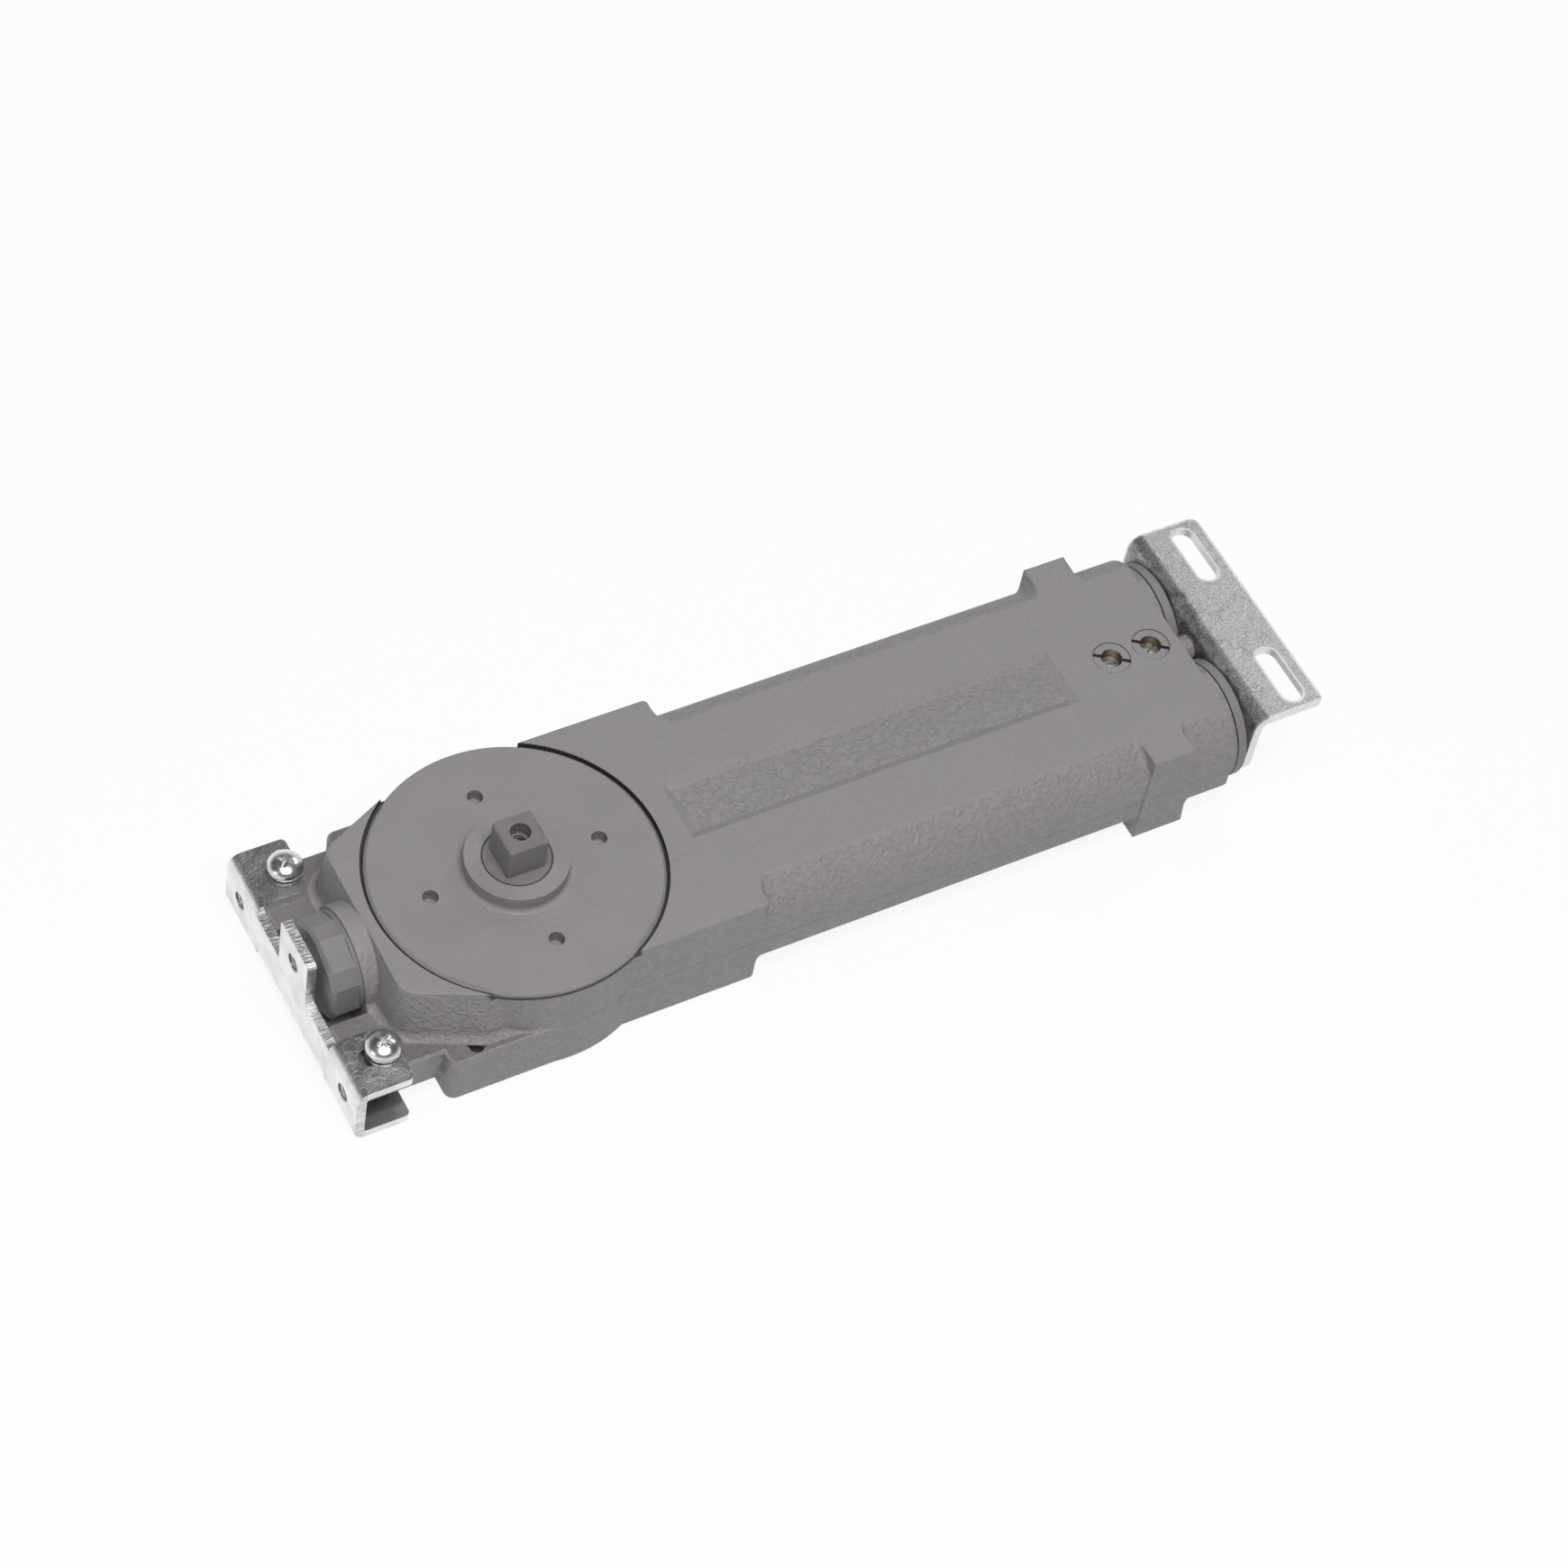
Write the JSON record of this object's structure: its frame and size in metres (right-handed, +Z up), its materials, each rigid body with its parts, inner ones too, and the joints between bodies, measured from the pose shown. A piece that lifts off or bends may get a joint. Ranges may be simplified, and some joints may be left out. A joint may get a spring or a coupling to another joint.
{
  "type": "concealed door closer",
  "caption": "Overhead door closer body hidden in a transom tube, with a spring-loaded drive square on a round cover, end plugs, speed valves, a channel bracket and a slotted angle bracket.",
  "frame": {"origin": "on the spindle axis, at the flat base of the housing", "axes": "+Z up along the spindle towards the drive square, +X along the bores towards the end plugs and the angle bracket"},
  "size_m": [0.304, 0.084, 0.0519],
  "materials": {
    "body_paint": "grey painted casting, rough on the sides and smooth on the top",
    "turned_steel": "turned steel, dull grey",
    "plug_steel": "turned plug, grey",
    "zinc_plate": "bright zinc plating, mottled",
    "bright_screw": "bright plated screws",
    "needle_brass": "pale turned brass",
    "spring_steel": "oiled spring wire",
    "ball_steel": "polished ball",
    "piston_iron": "machined iron, oiled",
    "bearing_bronze": "sintered bronze",
    "seal_rubber": "black rubber"
  },
  "bodies": {
    "body": {"housing": "body_paint", "cover": "body_paint", "cover_seal": "seal_rubber", "upper_bearing": "bearing_bronze", "lower_bearing": "bearing_bronze", "spindle_seal": "seal_rubber", "hex_plug": "plug_steel", "hex_plug_seal": "seal_rubber", "channel_bracket": "zinc_plate", "flat_washers": "bright_screw", "spring_washers": "bright_screw", "bracket_screws": "bright_screw", "angle_bracket": "zinc_plate", "angle_screws": "bright_screw", "near_closing_spring": "spring_steel", "near_spring_seat": "plug_steel", "near_end_plug": "plug_steel", "near_plug_seal": "seal_rubber", "far_closing_spring": "spring_steel", "far_spring_seat": "plug_steel", "far_end_plug": "plug_steel", "far_plug_seal": "seal_rubber", "sweep_valve_bushing": "plug_steel", "latch_valve_bushing": "plug_steel"},
    "spindle": {"spindle": "turned_steel"},
    "near_piston": {"near_rack_piston": "piston_iron", "near_piston_ring": "piston_iron", "near_check_ball": "ball_steel", "near_ball_retainer": "needle_brass"},
    "far_piston": {"far_rack_piston": "piston_iron", "far_piston_ring": "piston_iron", "far_check_ball": "ball_steel", "far_ball_retainer": "needle_brass"},
    "sweep_needle": {"sweep_valve_needle": "needle_brass", "sweep_valve_needle_seal": "seal_rubber"},
    "latch_needle": {"latch_valve_needle": "needle_brass", "latch_valve_needle_seal": "seal_rubber"}
  },
  "joints": [
    {"name": "spindle_turn", "type": "hinge", "parent": "body", "child": "spindle", "pos_m": [0, 0, 0.0178], "axis": [0, 0, 1], "range_deg": [-130, 130], "stiffness_Nm_per_rad": 10},
    {"name": "near_piston_slide", "type": "slide", "parent": "body", "child": "near_piston", "axis": [1, 0, 0], "range_m": [-0.0171, 0.0171], "deforming": ["near_closing_spring"]},
    {"name": "far_piston_slide", "type": "slide", "parent": "body", "child": "far_piston", "axis": [1, 0, 0], "range_m": [-0.0171, 0.0171], "deforming": ["far_closing_spring"]},
    {"name": "sweep_needle_turn", "type": "hinge", "parent": "body", "child": "sweep_needle", "pos_m": [0.1891, 0, 0.03], "axis": [0, 0, 1], "range_deg": [-360, 360]},
    {"name": "latch_needle_turn", "type": "hinge", "parent": "body", "child": "latch_needle", "pos_m": [0.2022, 0, 0.03], "axis": [0, 0, 1], "range_deg": [-360, 360]}
  ],
  "couplings": [
    {"joint": "near_piston_slide", "follows": "spindle_turn", "m_per_rad": 0.0075},
    {"joint": "far_piston_slide", "follows": "spindle_turn", "m_per_rad": -0.0075}
  ]
}
